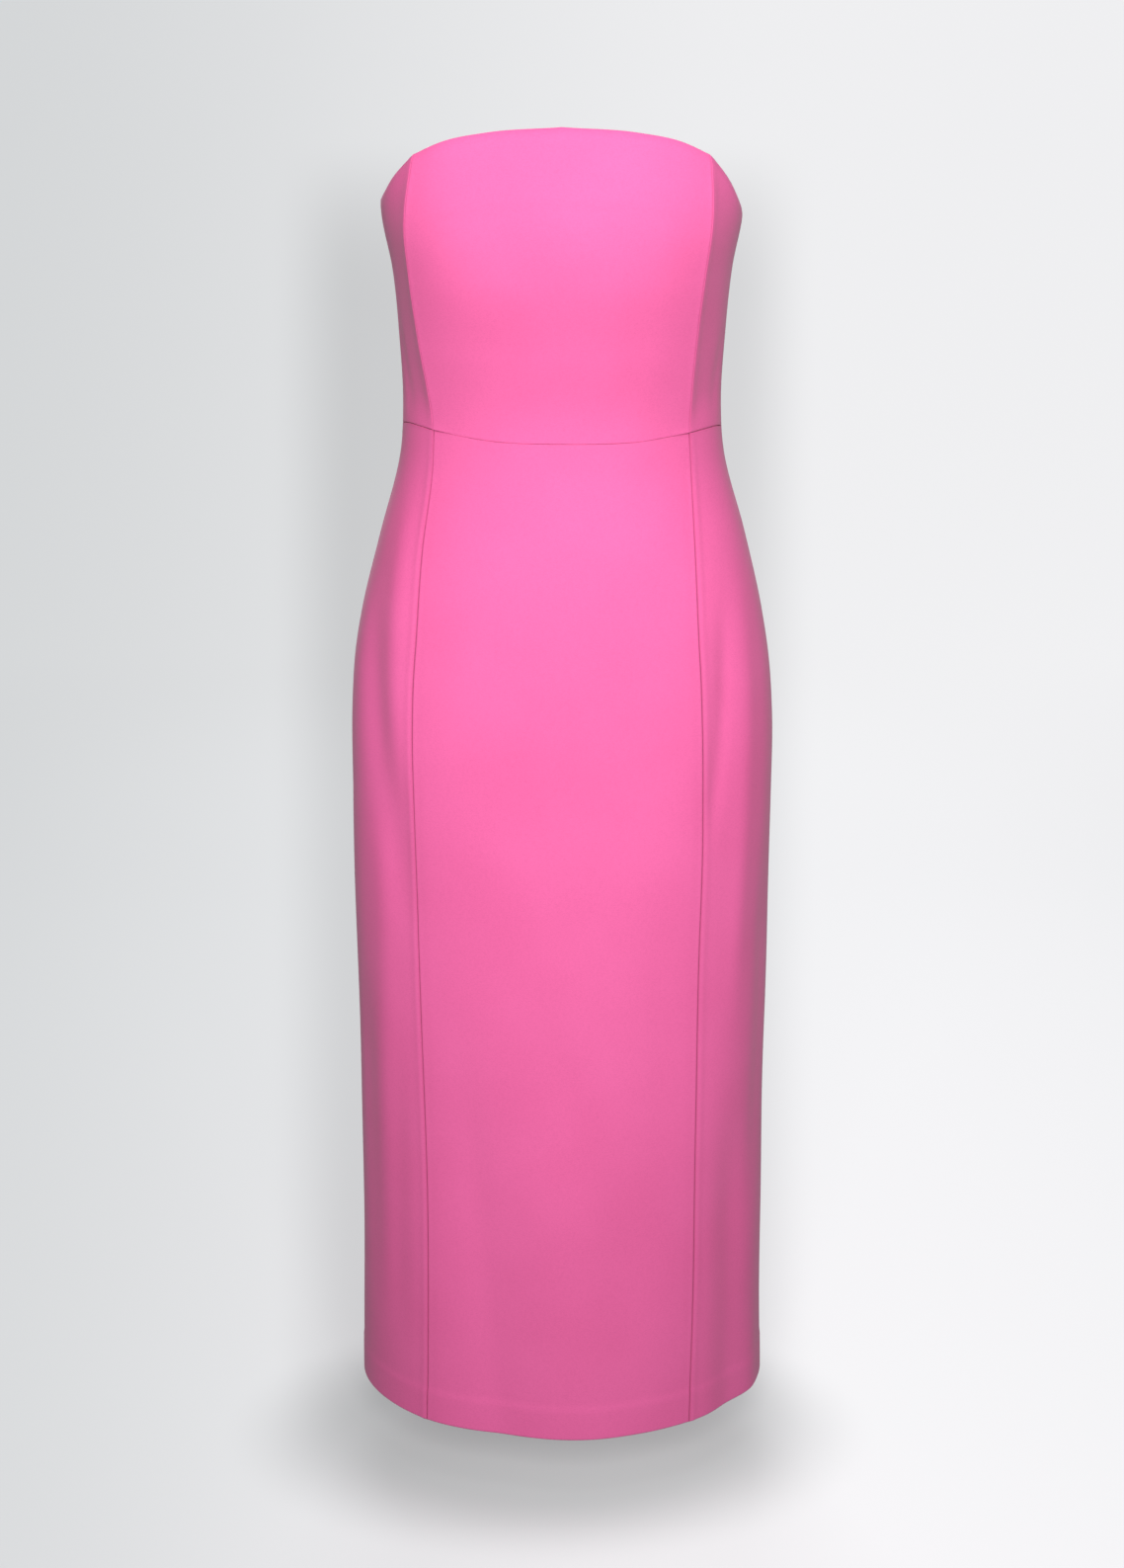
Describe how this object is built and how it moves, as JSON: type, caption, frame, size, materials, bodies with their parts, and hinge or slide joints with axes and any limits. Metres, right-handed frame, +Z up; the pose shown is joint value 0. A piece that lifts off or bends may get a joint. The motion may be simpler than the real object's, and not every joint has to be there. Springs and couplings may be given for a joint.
{
  "type": "strapless dress",
  "caption": "Strapless midi sheath dress with a princess-seamed bodice and skirt, a waist seam, a concealed back zip and a plain back slit, standing open as worn.",
  "frame": {"origin": "where the wearer holds the dress up: the middle of the bust section at underarm level, 0.165 m above the waist seam", "axes": "+Z up, -Y out of the front, +X to the wearer's left"},
  "size_m": [0.3496, 0.2526, 1.076],
  "materials": {
    "crepe": "matt heavy crepe",
    "zip_tape": "woven tape",
    "zip_coil": "satin",
    "zip_lacquer": "gloss lacquer"
  },
  "bodies": {
    "dress": {"bodice_front": "crepe", "bodice_side_front_left": "crepe", "bodice_side_front_right": "crepe", "bodice_back_left": "crepe", "bodice_back_right": "crepe", "skirt_front": "crepe", "skirt_side_front_left": "crepe", "skirt_side_front_right": "crepe", "skirt_back_left": "crepe", "skirt_back_right": "crepe", "zip_tape_left": "zip_tape", "zip_tape_right": "zip_tape", "zip_chain": "zip_coil", "zip_slider": "zip_lacquer"},
    "pull_tab": {"zip_pull_tab": "zip_lacquer"}
  },
  "joints": [
    {"name": "pull_tab_swing", "type": "hinge", "parent": "dress", "child": "pull_tab", "pos_m": [0, 0.10187, -0.02274], "axis": [1, 0, 0], "range_deg": [-4, 150]}
  ]
}
